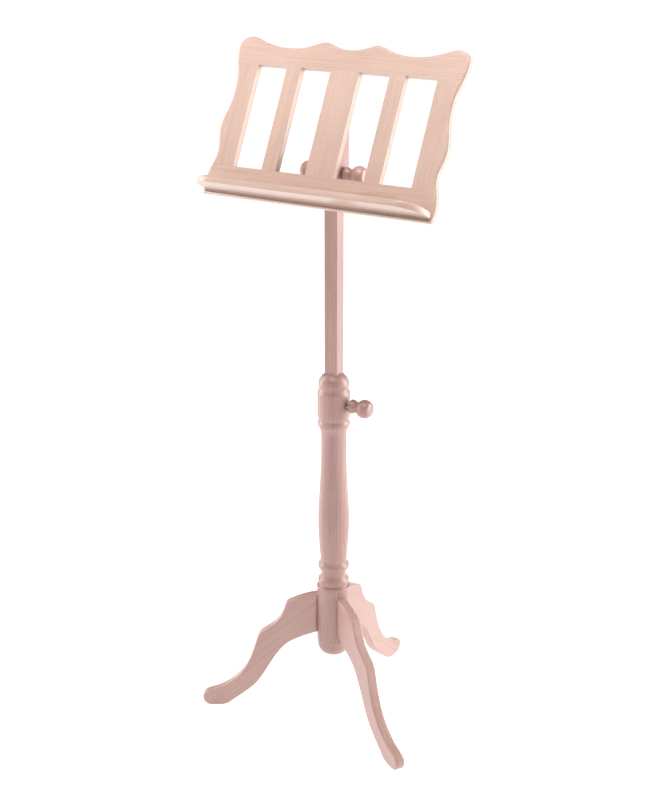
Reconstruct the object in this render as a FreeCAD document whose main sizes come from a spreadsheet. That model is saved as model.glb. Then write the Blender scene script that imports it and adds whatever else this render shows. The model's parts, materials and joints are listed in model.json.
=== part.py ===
import FreeCAD, Part
import math
import os

import Sketcher
from FreeCAD import Placement, Rotation, Vector

# A wooden music stand, in millimetres. The origin is on the floor on the axis of the column
# and +Z is up. The musician stands at -Y and looks along +Y, with +X to the right.
# The desk leans back; its own frame has X across, Y into the board from its front face and
# Z up the board, with its origin at the middle of the bottom rail's upper edge.

SIZES = [
    # The turned column and the square socket down its middle.
    ("post_radius", 34.2, "radius of the plain post that carries the legs"),
    ("post_low", 163.0, "height of the lower end of the post"),
    ("post_high", 280.0, "height of the upper end of the post"),
    ("collar_radius", 32.3, "radius of the plain collar that carries the clamp"),
    ("socket_width", 28.6, "width of the square socket across its flats"),
    ("socket_floor", 316.0, "height of the bottom of the socket"),
    ("socket_top", 760.0, "height that the socket's cut reaches, clear of the dome"),
    # The mast.
    ("mast_width", 28.0, "width of the square mast across its flats"),
    ("mast_length", 600.0, "length of the mast"),
    ("mast_chamfer", 2.5, "chamfer on the long edges of the mast"),
    ("mast_head", 28.0, "length of mast above the tilt rod"),
    # The legs.
    ("leg_thickness", 20.0, "thickness of the board that the legs are sawn from"),
    ("leg_round", 3.0, "rounding of the long edges of a leg"),
    ("leg_dowel_radius", 5.0, "radius of the dowels that hold the legs"),
    ("leg_dowel_length", 44.0, "length of the dowels that hold the legs"),
    ("leg_dowel_inner", 12.2, "distance from the column's axis to a leg dowel's inner end"),
    ("leg_dowel_low", 202.0, "height of the lower dowel in each leg"),
    ("leg_dowel_high", 244.0, "height of the upper dowel in each leg"),
    # The tilt pivot and the desk.
    ("pivot_height", 1132.0, "height of the tilt rod"),
    ("desk_lean", 27.0, "lean of the desk from the vertical, in degrees"),
    ("pivot_rise", 22.0, "place of the tilt rod up the desk"),
    ("pivot_depth", 49.0, "distance of the tilt rod behind the desk's front face"),
    ("board_thickness", 14.0, "thickness of the rails, stiles and slats"),
    ("board_round", 4.5, "rounding of the desk's outer edge, front and back"),
    ("window_height", 200.0, "height of the openings between the rails"),
    ("stile_inner", 190.5, "distance of a stile's inner edge from the middle"),
    ("thin_slat_width", 32.0, "width of a thin slat"),
    ("thin_slat_centre", 110.0, "distance of a thin slat's centre line from the middle"),
    ("wide_slat_width", 60.0, "width of the centre slat"),
    ("blank_reach", 300.0, "a length that reaches past the desk's outline from its middle"),
    ("floor_depth", 10.0, "depth below the floor that is cut off the legs"),
    ("frame_dowel_radius", 3.0, "radius of the dowels in the desk's joints"),
    ("frame_dowel_length", 30.0, "length of the dowels in the desk's joints"),
    # The ledge that the music rests on.
    ("ledge_underside", -50.0, "place of the ledge's underside up the desk"),
    ("ledge_thickness", 13.0, "thickness of the ledge"),
    ("ledge_half_width", 241.0, "half the width of the ledge"),
    ("ledge_depth", 62.0, "depth of the ledge in front of the desk"),
    ("ledge_corner_width", 46.0, "width of the rounded corner of the ledge"),
    ("ledge_corner_depth", 54.0, "depth of the rounded corner of the ledge"),
    ("ledge_top_round", 5.5, "rounding of the ledge's upper edge"),
    ("ledge_low_round", 2.0, "rounding of the ledge's lower edge"),
    ("ledge_screw_radius", 2.0, "radius of a ledge screw's shank"),
    ("ledge_screw_head", 4.0, "radius of a ledge screw's countersunk head"),
    ("ledge_screw_length", 45.0, "length of a ledge screw"),
    # The cheeks behind the centre slat.
    ("cheek_thickness", 7.0, "thickness of a cheek"),
    ("cheek_gap", 0.3, "gap between a cheek and the mast"),
    ("cheek_radius", 18.0, "radius of a cheek's rounded end about the tilt rod"),
    ("cheek_high", 131.0, "place up the desk where a cheek's rear edge would meet the board"),
    ("cheek_blunt", 8.0, "length cut off the thin upper tip of a cheek"),
    ("cheek_dowel_radius", 2.0, "radius of the dowels that hold a cheek"),
    ("cheek_dowel_length", 22.0, "length of the dowels that hold a cheek"),
    ("cheek_dowel_sunk", 8.0, "depth of those dowels in the centre slat"),
    # The knobs, the threaded parts and the washers.
    ("thread_radius", 4.0, "radius of the eight millimetre threaded rods"),
    ("running_gap", 0.05, "running clearance round a threaded rod"),
    ("insert_radius", 6.0, "outer radius of a threaded insert"),
    ("insert_length", 14.0, "length of a threaded insert"),
    ("knob_length", 44.0, "length of a knob"),
    ("knob_bore_depth", 20.0, "depth of the hole in a tilt knob"),
    ("knob_bore_radius", 4.3, "radius of the hole in a tilt knob past its insert"),
    ("rod_past_insert", 3.0, "length of tilt rod past each insert"),
    ("washer_radius", 8.0, "outer radius of a tilt washer"),
    ("washer_thickness", 1.6, "thickness of a tilt washer"),
    ("face_gap", 0.1, "gap between flat faces that press together when tight"),
    ("clamp_height", 681.0, "height of the clamp screw's axis"),
    ("clamp_insert_start", 17.5, "distance of the clamp insert from the column's axis"),
    ("clamp_knob_base", 39.0, "distance of the clamp knob's base from the column's axis"),
    ("clamp_thread_sunk", 18.0, "depth of the clamp screw in its knob"),
    ("pad_radius", 4.9, "radius of the pressure pad"),
    ("pad_thickness", 2.0, "thickness of the pressure pad"),
    ("pad_bore_radius", 5.0, "radius of the bore that the pressure pad slides in"),
]

# Outlines. Each starts at a point, and every step goes on to its own last point: a step of
# one point is a straight line, of two points an arc, and of more a smooth curve.

# The column from the middle of its foot to the top of its dome, as radius and height.
COLUMN_START = (0.0, 128.0)
COLUMN_STEPS = [
    [(15.0, 128.0)],                                            # flat end
    [(27.5, 136.0), (32.4, 154.0)],                             # rounded foot
    [(32.0, 158.5)],                                            # groove above the foot
    [(33.2, 159.5), (34.2, 163.0)],                             # lower edge of the post
    [(34.2, 280.0)],                                            # post
    [(33.4, 284.5), (30.6, 286.0)],                             # upper edge of the post
    [(29.0, 288.5)],
    [(31.8, 296.0), (27.6, 305.0)],                             # lower bead
    [(25.2, 312.0), (26.4, 319.5)],                             # cove
    [(27.0, 321.0)],
    [(31.6, 329.8), (27.4, 338.5)],                             # upper bead
    [(26.6, 341.0)],
    [(27.4, 352.0), (29.9, 384.0), (31.4, 428.0), (29.9, 473.0), (27.3, 517.0),
     (25.6, 560.0), (25.3, 603.0), (26.3, 622.0), (30.2, 632.5)],  # long bulb and neck
    [(32.0, 638.0), (30.6, 645.0)],                             # neck bead
    [(29.2, 648.0)],
    [(30.8, 650.5), (32.3, 656.0)],                             # lower edge of the collar
    [(32.3, 698.0)],                                            # collar
    [(31.7, 704.5), (29.6, 708.5)],                             # upper edge of the collar
    [(28.6, 713.0)],
    [(29.2, 716.5), (30.4, 719.5)],                             # groove under the dome
    [(30.3, 722.5), (28.8, 728.5), (25.0, 735.0), (19.8, 740.0), (0.0, 748.5)],  # dome
]

# A leg seen from its side, as distance from the column's axis, height, and heading in
# degrees from the outward horizontal. Two arcs join each pair of stations smoothly. The
# foot reaches just below the floor, where it is cut off flat.
LEG_STATIONS = [
    (24.0, 266.0, -3.0),                                        # upper edge, in the post
    (91.0, 246.0, -27.0),                                       # first cusp
    (100.5, 234.0, -78.0),
    (118.0, 199.5, -50.0),                                      # first hollow
    (148.0, 175.5, -37.0),                                      # second cusp
    (158.5, 160.0, -75.0),
    (188.0, 85.5, -57.0),                                       # second hollow
    (258.0, 33.5, -16.0),                                       # toe
    (275.5, 17.0, -92.0),
    (259.0, -1.0, -180.0),
    (238.0, -1.0, -184.0),                                      # foot
    (198.0, 22.0, -217.0),
    (153.5, 65.0, -237.0),
    (121.5, 118.5, -238.0),
    (88.0, 154.5, -210.0),
    (24.0, 180.0, -194.0),                                      # lower edge, in the post
]

# Half of the desk's outline, from its lower corner to the middle of its top edge, as
# distance across and distance up the desk.
DESK_SIDE = [
    (243.2, -57.5), (246.3, -27.0), (242.0, -6.0), (236.2, 13.0), (234.8, 28.0), (238.3, 46.0),
    (242.6, 71.0), (239.4, 95.0), (233.2, 121.0), (230.8, 147.0), (232.2, 170.0),
    (239.8, 200.0), (244.5, 226.0),
]
DESK_HORN = [(241.6, 243.0), (230.0, 251.5), (217.0, 254.2)]
DESK_TOP = [
    (198.0, 249.5), (167.0, 240.0), (133.0, 236.6), (95.0, 240.8), (72.0, 248.5),
    (55.5, 252.4), (40.0, 249.0), (20.0, 242.5), (0.0, 240.8),
]

# A knob from the edge of its base to the edge of its flat end, as radius and distance
# from its base.
KNOB_STEPS = [
    [(12.0, 0.0)],                                              # base
    [(13.3, 0.9), (14.0, 4.2)],                                 # flange
    [(12.9, 8.6), (10.9, 12.0), (10.9, 16.0), (14.6, 20.4)],    # neck
    [(18.3, 30.0), (12.8, 43.6)],                               # ball
    [(12.0, 44.0)],                                             # edge of the flat end
]

LEG_ANGLES = {"leg_back": 90.0, "leg_left": 210.0, "leg_right": 330.0}
SIDES = {"right": 1.0, "left": -1.0}
FRAME_DOWELS_ACROSS = [-220.0, -203.0, -110.0, -15.0, 15.0, 110.0, 203.0, 220.0]
CHEEK_DOWELS_UP = [40.0, 92.0]
LEDGE_SCREWS_ACROSS = [-180.0, -60.0, 60.0, 180.0]
TINY = 0.01

doc = FreeCAD.newDocument("MusicStand")
sheet = doc.addObject("Spreadsheet::Sheet", "Sizes")
finished = {}


def fill_sheet():
    """Writes the driving dimensions, one to a row."""
    for row, (alias, value, meaning) in enumerate(SIZES, start=1):
        sheet.set(f"A{row}", meaning)
        sheet.set(f"B{row}", str(value))
        sheet.setAlias(f"B{row}", alias)
    doc.recompute()


def size(alias):
    """The value of one driving dimension."""
    return float(sheet.get(alias))


def add(kind, label, **formulas):
    """Adds a labelled object whose properties are bound to formulas."""
    item = doc.addObject(kind, label)
    item.Label = label
    for name, formula in formulas.items():
        item.setExpression(name, formula)
    return item


def finish(item, label):
    """Marks an object as a finished sub-part."""
    item.Label = label
    finished[label] = item
    return item


# ---------------------------------------------------------------- sketches and features


def flat(point):
    return Vector(point[0], point[1], 0.0)


def trace(start, steps):
    """The curves of an outline, each joined to the last."""
    curves = []
    here = start
    for step in steps:
        points = [flat(here)] + [flat(point) for point in step]
        if len(points) == 2:
            curves.append(Part.LineSegment(*points))
        elif len(points) == 3:
            curves.append(Part.Arc(*points))
        else:
            curve = Part.BSplineCurve()
            curve.interpolate(points)
            curves.append(curve)
        here = step[-1]
    return curves


def heading_vector(heading):
    turn = math.radians(heading)
    return Vector(math.cos(turn), math.sin(turn), 0.0)


def arc_from(start, heading, end):
    """The arc from one point to another that leaves the first at a heading, in degrees."""
    chord = end - start
    direction = math.degrees(math.atan2(chord.y, chord.x))
    swing = (direction - heading + 180.0) % 360.0 - 180.0
    if abs(swing) < TINY:
        return Part.LineSegment(start, end)
    reach = chord.Length / (2.0 * math.cos(math.radians(swing / 2.0)))
    middle = start + heading_vector(heading + swing / 2.0) * reach
    return Part.Arc(start, middle, end)


def two_arcs(first, second):
    """Two arcs that join one station to the next and are smooth at both."""
    start = flat(first)
    end = flat(second)
    leaving = heading_vector(first[2])
    arriving = heading_vector(second[2])
    chord = end - start
    along = chord.dot(leaving + arriving)
    bend = 2.0 * (1.0 - leaving.dot(arriving))
    if bend < TINY ** 2:
        reach = chord.dot(chord) / (2.0 * along)
    else:
        reach = (math.sqrt(along ** 2 + bend * chord.dot(chord)) - along) / bend
    joint = (start + leaving * reach + end - arriving * reach) * 0.5
    backwards = arc_from(end, second[2] + 180.0, joint)
    return [arc_from(start, first[2], joint), backwards]


def smooth_outline(stations):
    """A closed outline through stations, with a straight line from the last to the first."""
    curves = []
    for first, second in zip(stations, stations[1:]):
        curves += two_arcs(first, second)
    return curves + [Part.LineSegment(flat(stations[-1]), flat(stations[0]))]


def draw(body, role, name, curves, offset=0.0):
    """A sketch on one of the body's own origin planes, or at a distance from it."""
    sketch = body.newObject("Sketcher::SketchObject", name)
    planes = [plane for plane in body.Origin.OriginFeatures if plane.Role == role]
    sketch.AttachmentSupport = (planes[0], [""])
    sketch.MapMode = "FlatFace"
    sketch.AttachmentOffset = Placement(Vector(0.0, 0.0, offset), Rotation())
    sketch.addGeometry(curves, False)
    return sketch


def square(body, role, name, width_alias):
    """A square sketch about the origin whose sides are bound to the sheet."""
    half = size(width_alias) / 2.0
    corners = [(half, half), (-half, half), (-half, -half), (half, -half)]
    sketch = draw(body, role, name, trace(corners[-1], [[corner] for corner in corners]))
    for side in range(4):
        sketch.addConstraint(Sketcher.Constraint("Coincident", side, 2, (side + 1) % 4, 1))
        direction = "Vertical" if side % 2 == 0 else "Horizontal"
        sketch.addConstraint(Sketcher.Constraint(direction, side))
    sketch.addConstraint(Sketcher.Constraint("Symmetric", 0, 1, 1, 2, -1, 1))
    for direction, side in (("DistanceX", 3), ("DistanceY", 0)):
        width = Sketcher.Constraint(direction, side, 1, side, 2, 2.0 * half)
        sketch.renameConstraint(sketch.addConstraint(width), direction)
        sketch.setExpression(f"Constraints.{direction}", f"Sizes.{width_alias}")
    return sketch


def pad(body, sketch, name, length, midplane=False, reverse=False):
    """Extrudes a sketch by a bound length."""
    feature = body.newObject("PartDesign::Pad", name)
    feature.Profile = sketch
    feature.Midplane = midplane
    feature.Reversed = reverse
    feature.setExpression("Length", length)
    doc.recompute()
    return feature


def revolve(body, sketch, name):
    """Turns a half profile about the sketch's upright axis."""
    feature = body.newObject("PartDesign::Revolution", name)
    feature.Profile = sketch
    feature.ReferenceAxis = (sketch, ["V_Axis"])
    feature.Angle = 360.0
    doc.recompute()
    return feature


def edges_where(feature, wanted):
    """The names of a feature's edges whose bounding box passes a test."""
    edges = enumerate(feature.Shape.Edges, start=1)
    return [f"Edge{number}" for number, edge in edges if wanted(edge.BoundBox)]


def dress(body, kind, feature, name, wanted, **formulas):
    """Rounds or chamfers the edges that pass a test."""
    dressed = body.newObject(kind, name)
    dressed.Base = (feature, edges_where(feature, wanted))
    for property_name, formula in formulas.items():
        dressed.setExpression(property_name, formula)
    doc.recompute()
    return dressed


def cylinder(label, radius, length, place):
    """A cylinder with bound radius and length, along the placement's Z from its origin."""
    item = add("Part::Cylinder", label, Radius=radius, Height=length)
    item.Placement = place
    return item


def group(label, items):
    """Several separate solids in one object."""
    item = add("Part::Compound", label)
    item.Links = items
    doc.recompute()
    return item


def fuse(label, items):
    """Several objects as one solid or one set of tools."""
    item = add("Part::MultiFuse", label)
    item.Shapes = items
    doc.recompute()
    return item


def cut(label, base, tool):
    """One object less another."""
    item = add("Part::Cut", label)
    item.Base = base
    item.Tool = tool
    doc.recompute()
    return item


def along_x(distance, level, sign=1.0):
    """A placement on the column's axis, moved along X, whose Z points away from the axis."""
    turn = Rotation(Vector(0.0, 1.0, 0.0), 90.0 * sign)
    return Placement(Vector(sign * distance, 0.0, level), turn)


def desk_placement():
    """Carries the desk's own frame to its place on the stand."""
    lean = math.radians(size("desk_lean"))
    rise = size("pivot_rise")
    depth = size("pivot_depth")
    back = rise * math.sin(lean) + depth * math.cos(lean)
    below = rise * math.cos(lean) - depth * math.sin(lean)
    corner = Vector(0.0, -back, size("pivot_height") - below)
    return Placement(corner, Rotation(Vector(1.0, 0.0, 0.0), -size("desk_lean")))


def into_desk(item, label):
    """Finishes a sub-part that was made in the desk's own frame."""
    item.Placement = desk_placement()
    doc.recompute()
    return finish(item, label)


def tube(label, outer_radius, length, place):
    """A ring or tube whose bore runs clear of a threaded rod."""
    outside = cylinder(f"{label}_outside", outer_radius, length, place)
    bore = cylinder(f"{label}_bore", "Sizes.thread_radius + Sizes.running_gap", length, place)
    return finish(cut(label, outside, bore), label)


# ---------------------------------------------------------------- column, legs and mast


def make_leg_dowels():
    """Two radial dowels for each leg."""
    dowels = []
    for leg, angle in LEG_ANGLES.items():
        turn = Rotation(Vector(0.0, 0.0, 1.0), angle)
        lie = turn.multiply(Rotation(Vector(0.0, 1.0, 0.0), 90.0))
        for level in ("leg_dowel_low", "leg_dowel_high"):
            start = turn.multVec(Vector(size("leg_dowel_inner"), 0.0, size(level)))
            place = Placement(start, lie)
            radius = "Sizes.leg_dowel_radius"
            dowels.append(cylinder(f"{leg}_{level}", radius, "Sizes.leg_dowel_length", place))
    return finish(group("leg_dowels", dowels), "leg_dowels")


def make_column(leg_dowels):
    """The turned column, with its socket, its clamp bores and its dowel holes."""
    body = add("PartDesign::Body", "column_turning")
    profile = trace(COLUMN_START, COLUMN_STEPS + [[COLUMN_START]])
    revolve(body, draw(body, "XZ_Plane", "column_profile", profile), "column_turned")
    width = "Sizes.socket_width"
    depth = "Sizes.socket_top - Sizes.socket_floor"
    socket = add("Part::Box", "socket_tool", Length=width, Width=width, Height=depth)
    half = size("socket_width") / 2.0
    socket.Placement = Placement(Vector(-half, -half, size("socket_floor")), Rotation())
    level = size("clamp_height")
    start = size("clamp_insert_start")
    pad_radius = "Sizes.pad_bore_radius"
    pad_bore = cylinder("pad_bore", pad_radius, "Sizes.clamp_insert_start", along_x(0.0, level))
    insert_place = along_x(start, level)
    insert_bore = cylinder("insert_bore", "Sizes.insert_radius", "Sizes.collar_radius", insert_place)
    tools = fuse("column_tools", [socket, pad_bore, insert_bore, leg_dowels])
    return finish(cut("column", body, tools), "column")


def make_leg(label, angle, leg_dowels):
    """One sawn leg, with rounded edges and its end hollowed to fit the post."""
    body = add("PartDesign::Body", f"{label}_board")
    sketch = draw(body, "XZ_Plane", f"{label}_outline", smooth_outline(LEG_STATIONS))
    board = pad(body, sketch, f"{label}_pad", "Sizes.leg_thickness", midplane=True)
    fillet = "PartDesign::Fillet"
    inner = LEG_STATIONS[0][0]
    outside_post = lambda box: box.YLength < TINY and box.XMax > inner + TINY
    dress(body, fillet, board, f"{label}_edges", outside_post, Radius="Sizes.leg_round")
    body.Placement = Placement(Vector(), Rotation(Vector(0.0, 0.0, 1.0), angle))
    place = Placement(Vector(0.0, 0.0, size("post_low")), Rotation())
    post_height = "Sizes.post_high - Sizes.post_low"
    post = cylinder(f"{label}_post", "Sizes.post_radius", post_height, place)
    reach = size("blank_reach")
    floor = add(
        "Part::Box",
        f"{label}_floor",
        Length="2 * Sizes.blank_reach",
        Width="2 * Sizes.blank_reach",
        Height="Sizes.floor_depth",
    )
    floor.Placement = Placement(Vector(-reach, -reach, -float(floor.Height)), Rotation())
    tools = fuse(f"{label}_tools", [post, floor, leg_dowels])
    return finish(cut(label, body, tools), label)


def make_mast(rod):
    """The square mast with its chamfered edges, bored for the tilt rod."""
    body = add("PartDesign::Body", "mast_bar")
    sketch = square(body, "XY_Plane", "mast_section", "mast_width")
    bar = pad(body, sketch, "mast_pad", "Sizes.mast_length")
    upright = lambda box: box.ZLength > box.XLength + box.YLength
    chamfer = "PartDesign::Chamfer"
    dress(body, chamfer, bar, "mast_chamfers", upright, Size="Sizes.mast_chamfer")
    foot = size("pivot_height") + size("mast_head") - size("mast_length")
    body.Placement = Placement(Vector(0.0, 0.0, foot), Rotation())
    return finish(cut("mast", body, rod), "mast")


# ---------------------------------------------------------------- knobs and metal parts


def make_knob(label, bore, place):
    """A turned knob standing on its base along Z, then placed. The bore is a list of steps
    from the base inwards, each a radius and the depth that it reaches."""
    body = add("PartDesign::Body", label)
    steps = KNOB_STEPS + [[(0.0, size("knob_length"))], [(0.0, bore[-1][1])]]
    for number in reversed(range(len(bore))):
        radius, depth = bore[number]
        shallower = bore[number - 1][1] if number else 0.0
        steps = steps + [[(radius, depth)], [(radius, shallower)]]
    sketch = draw(body, "XZ_Plane", f"{label}_profile", trace((bore[0][0], 0.0), steps))
    revolve(body, sketch, f"{label}_turned")
    body.Placement = place
    return finish(body, label)


def make_clamp():
    """The insert in the collar, the pressure pad, the screw behind it and the screw's knob."""
    level = size("clamp_height")
    insert_place = along_x(size("clamp_insert_start"), level)
    tube("clamp_insert", "Sizes.insert_radius", "Sizes.insert_length", insert_place)
    pad_start = size("mast_width") / 2.0 + size("face_gap")
    pad_place = along_x(pad_start, level)
    disc = cylinder("clamp_pad", "Sizes.pad_radius", "Sizes.pad_thickness", pad_place)
    finish(disc, "clamp_pad")
    screw_start = pad_start + size("pad_thickness") + size("running_gap")
    screw = add("Part::Cylinder", "clamp_screw", Radius="Sizes.thread_radius")
    screw.Height = size("clamp_knob_base") + size("clamp_thread_sunk") - screw_start
    screw.Placement = along_x(screw_start, level)
    finish(screw, "clamp_screw")
    bore = [(size("thread_radius"), size("clamp_thread_sunk"))]
    make_knob("clamp_knob", bore, along_x(size("clamp_knob_base"), level))


def make_tilt_lock():
    """The rod through the mast, and on each side a washer, a threaded insert and a knob."""
    level = size("pivot_height")
    cheek_face = size("mast_width") / 2.0 + size("cheek_gap") + size("cheek_thickness")
    washer_start = cheek_face + size("face_gap")
    knob_base = washer_start + size("washer_thickness") + size("face_gap")
    insert_length = size("insert_length")
    rod_end = knob_base + insert_length + size("rod_past_insert")
    rod = add("Part::Cylinder", "tilt_rod", Radius="Sizes.thread_radius")
    rod.Height = 2.0 * rod_end
    rod.Placement = along_x(-rod_end, level)
    finish(rod, "tilt_rod")
    bore = [
        (size("insert_radius"), insert_length),
        (size("knob_bore_radius"), size("knob_bore_depth")),
    ]
    for side, sign in SIDES.items():
        washer_place = along_x(washer_start, level, sign)
        knob_place = along_x(knob_base, level, sign)
        tube(f"tilt_washer_{side}", "Sizes.washer_radius", "Sizes.washer_thickness", washer_place)
        tube(f"tilt_insert_{side}", "Sizes.insert_radius", "Sizes.insert_length", knob_place)
        make_knob(f"tilt_knob_{side}", bore, knob_place)
    return rod


# ---------------------------------------------------------------- desk


def make_desk_blank():
    """The desk's whole outline as one board with a rounded edge, to be divided."""
    half = DESK_SIDE + DESK_HORN + DESK_TOP
    mirrored = [(-across, up) for across, up in half[-2::-1]]
    outline = half + mirrored
    body = add("PartDesign::Body", "desk_blank")
    curves = trace(outline[0], [outline[1:], [outline[0]]])
    sketch = draw(body, "XZ_Plane", "desk_outline", curves)
    board = pad(body, sketch, "desk_pad", "Sizes.board_thickness", reverse=True)
    on_a_face = lambda box: box.YLength < TINY
    fillet = "PartDesign::Fillet"
    dress(body, fillet, board, "desk_edges", on_a_face, Radius="Sizes.board_round")
    return body


def member_corners():
    """The lower left and upper right corners of the box that holds each member."""
    reach = size("blank_reach")
    top = size("window_height")
    inner = size("stile_inner")
    centre = size("thin_slat_centre")
    thin = size("thin_slat_width") / 2.0
    wide = size("wide_slat_width") / 2.0
    return {
        "top_rail": ((-reach, top), (reach, reach)),
        "bottom_rail": ((-reach, -reach), (reach, 0.0)),
        "left_stile": ((-reach, 0.0), (-inner, top)),
        "right_stile": ((inner, 0.0), (reach, top)),
        "left_slat": ((-centre - thin, 0.0), (-centre + thin, top)),
        "centre_slat": ((-wide, 0.0), (wide, top)),
        "right_slat": ((centre - thin, 0.0), (centre + thin, top)),
    }


def make_member(label, corners, blank, fasteners):
    """One member of the desk: the blank inside its box, less the holes for its fasteners."""
    low, high = corners
    box = add("Part::Box", f"{label}_box", Width="Sizes.board_thickness")
    box.Length = high[0] - low[0]
    box.Height = high[1] - low[1]
    box.Placement = Placement(Vector(low[0], 0.0, low[1]), Rotation())
    board = add("Part::Common", f"{label}_board")
    board.Base = blank
    board.Tool = box
    doc.recompute()
    return into_desk(cut(label, board, fasteners), label)


def frame_dowels():
    """The dowels that join the stiles and slats to the rails, upright in the desk."""
    dowels = []
    half = size("frame_dowel_length") / 2.0
    middle = size("board_thickness") / 2.0
    radius = "Sizes.frame_dowel_radius"
    for rail, level in (("low", 0.0), ("high", size("window_height"))):
        for number, across in enumerate(FRAME_DOWELS_ACROSS):
            place = Placement(Vector(across, middle, level - half), Rotation())
            name = f"frame_dowel_{rail}_{number}"
            dowels.append(cylinder(name, radius, "Sizes.frame_dowel_length", place))
    return dowels


def cheek_dowels():
    """Two dowels for each cheek, square to the desk and sunk in the centre slat."""
    dowels = []
    across = (size("mast_width") + size("cheek_thickness")) / 2.0 + size("cheek_gap")
    start = size("board_thickness") - size("cheek_dowel_sunk")
    inward = Rotation(Vector(1.0, 0.0, 0.0), -90.0)
    radius = "Sizes.cheek_dowel_radius"
    for side, sign in SIDES.items():
        for number, level in enumerate(CHEEK_DOWELS_UP):
            place = Placement(Vector(sign * across, start, level), inward)
            name = f"cheek_dowel_{side}_{number}"
            dowels.append(cylinder(name, radius, "Sizes.cheek_dowel_length", place))
    return dowels


def ledge_screws():
    """Countersunk screws through the bottom rail into the ledge."""
    screws = []
    level = size("ledge_underside") + size("ledge_thickness") / 2.0
    outward = Rotation(Vector(1.0, 0.0, 0.0), 90.0)
    shank = "Sizes.ledge_screw_radius"
    head = "Sizes.ledge_screw_head"
    for number, across in enumerate(LEDGE_SCREWS_ACROSS):
        place = Placement(Vector(across, size("board_thickness"), level), outward)
        name = f"ledge_screw_{number}"
        rod = cylinder(f"{name}_shank", shank, "Sizes.ledge_screw_length", place)
        cone = add("Part::Cone", f"{name}_head", Radius1=head, Radius2=shank)
        cone.setExpression("Height", f"{head} - {shank}")
        cone.Placement = place
        screws.append(fuse(name, [rod, cone]))
    return screws


def ledge_corner(sign):
    """The quarter ellipse of one front corner of the ledge."""
    straight = size("ledge_half_width") - size("ledge_corner_width")
    shoulder = size("ledge_depth") - size("ledge_corner_depth")
    centre = Vector(sign * straight, -shoulder, 0.0)
    front = Vector(sign * straight, -size("ledge_depth"), 0.0)
    outer = Vector(size("ledge_half_width"), -shoulder, 0.0)
    if sign < 0.0:
        outer = centre + Vector(size("ledge_corner_width"), 0.0, 0.0)
    ellipse = Part.Ellipse(front, outer, centre)
    turn = math.pi / 2.0
    angles = (0.0, turn) if sign > 0.0 else (-turn, 0.0)
    return Part.ArcOfEllipse(ellipse, *angles)


def make_ledge(screws):
    """The ledge: straight in front, with elliptical corners and a rounded front edge."""
    half = size("ledge_half_width")
    depth = size("ledge_depth")
    straight = half - size("ledge_corner_width")
    shoulder = depth - size("ledge_corner_depth")
    curves = trace((-half, -shoulder), [[(-half, 0.0)], [(half, 0.0)], [(half, -shoulder)]])
    curves.append(ledge_corner(1.0))
    curves += trace((straight, -depth), [[(-straight, -depth)]])
    curves.append(ledge_corner(-1.0))
    body = add("PartDesign::Body", "ledge_board")
    level = size("ledge_underside")
    sketch = draw(body, "XY_Plane", "ledge_outline", curves, offset=level)
    board = pad(body, sketch, "ledge_pad", "Sizes.ledge_thickness")
    top = level + size("ledge_thickness")
    fillet = "PartDesign::Fillet"
    upper_front = lambda box: box.ZMin > top - TINY and box.YMin < -TINY
    upper = dress(
        body, fillet, board, "ledge_upper_edge", upper_front, Radius="Sizes.ledge_top_round"
    )
    lower_front = lambda box: box.ZMax < level + TINY and box.YMin < -TINY
    dress(body, fillet, upper, "ledge_lower_edge", lower_front, Radius="Sizes.ledge_low_round")
    return into_desk(cut("ledge", body, screws), "ledge")


def cheek_outline():
    """A cheek from the side: square to the board below, round about the tilt rod, and with
    a straight rear edge from that round up to the board."""
    back = size("board_thickness")
    rise = size("pivot_rise")
    depth = size("pivot_depth")
    radius = size("cheek_radius")
    tip = Vector(back, size("cheek_high"), 0.0)
    pivot = Vector(depth, rise, 0.0)
    reach = tip - pivot
    toward_tip = math.atan2(reach.y, reach.x)
    turn = toward_tip - math.acos(radius / reach.Length)
    tangent = pivot + Vector(math.cos(turn), math.sin(turn), 0.0) * radius
    halfway = (turn - math.pi / 2.0) / 2.0
    middle = pivot + Vector(math.cos(halfway), math.sin(halfway), 0.0) * radius
    blunt = tip + (tangent - tip).normalize() * size("cheek_blunt")
    low = rise - radius
    steps = [
        [(depth, low)],
        [(middle.x, middle.y), (tangent.x, tangent.y)],
        [(blunt.x, blunt.y)],
        [(back, blunt.y)],
        [(back, low)],
    ]
    return trace((back, low), steps)


def make_cheek(side, sign, dowels):
    """One cheek, bored for the tilt rod and its dowels."""
    label = f"cheek_{side}"
    inner = size("mast_width") / 2.0 + size("cheek_gap")
    start = inner if sign > 0.0 else -inner - size("cheek_thickness")
    body = add("PartDesign::Body", f"{label}_board")
    sketch = draw(body, "YZ_Plane", f"{label}_outline", cheek_outline(), offset=start)
    pad(body, sketch, f"{label}_pad", "Sizes.cheek_thickness")
    turn = Rotation(Vector(0.0, 1.0, 0.0), 90.0)
    place = Placement(Vector(start, size("pivot_depth"), size("pivot_rise")), turn)
    radius = "Sizes.thread_radius + Sizes.running_gap"
    bore = cylinder(f"{label}_bore", radius, "Sizes.cheek_thickness", place)
    tools = fuse(f"{label}_tools", [bore] + dowels)
    return into_desk(cut(label, body, tools), label)


def make_desk():
    """Every piece that tilts: the members, the ledge, the cheeks and what joins them."""
    frame = frame_dowels()
    cheeks = cheek_dowels()
    screws = ledge_screws()
    blank = make_desk_blank()
    fasteners = group("desk_fasteners", frame + cheeks + screws)
    for label, corners in member_corners().items():
        make_member(label, corners, blank, fasteners)
    make_ledge(group("ledge_screw_holes", screws))
    for side, sign in SIDES.items():
        make_cheek(side, sign, cheeks)
    into_desk(group("frame_dowels", frame), "frame_dowels")
    into_desk(group("cheek_dowels", cheeks), "cheek_dowels")
    into_desk(group("ledge_screws", screws), "ledge_screws")


# ---------------------------------------------------------------- whole stand


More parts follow.
